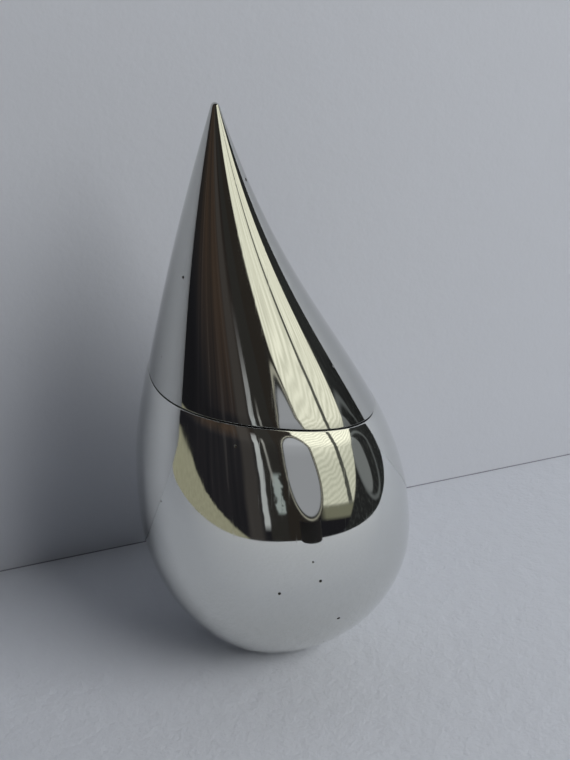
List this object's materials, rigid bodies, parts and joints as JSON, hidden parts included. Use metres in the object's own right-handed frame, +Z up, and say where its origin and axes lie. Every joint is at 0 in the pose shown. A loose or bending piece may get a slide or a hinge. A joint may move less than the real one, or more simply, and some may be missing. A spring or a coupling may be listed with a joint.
{
  "type": "lidded drop container",
  "caption": "Leaning teardrop container in mirror-polished steel, standing on a small flat foot, with a lift-off pointed lid, a plug-in collar and a weighted bowl.",
  "frame": {"origin": "centre of the foot pad's underside", "axes": "+Z up, the drop leans towards -X, +Y is square to the plane of the lean"},
  "size_m": [0.0676, 0.0672, 0.1398],
  "materials": {
    "polished_steel": "mirror-polished, seamless",
    "satin_steel": "fine satin turning marks",
    "bright_steel": "bright turned",
    "cast_iron": "as cast",
    "black_rubber": "matt"
  },
  "bodies": {
    "bowl": {"body_shell": "polished_steel", "mouth_ring": "satin_steel", "locating_pin": "bright_steel", "floor_disc": "satin_steel", "ballast_weight": "cast_iron", "ballast_nut": "bright_steel", "ballast_washer": "bright_steel", "foot_screw": "bright_steel", "foot_plate": "satin_steel", "foot_pad": "black_rubber"},
    "lid": {"lid_shell": "polished_steel", "lid_point": "polished_steel", "lid_collar": "satin_steel", "collar_gasket": "black_rubber"}
  },
  "joints": [
    {"name": "lid_lift", "type": "slide", "parent": "bowl", "child": "lid", "axis": [0.1616, 0, 0.9869], "range_m": [0, 0.08]}
  ]
}
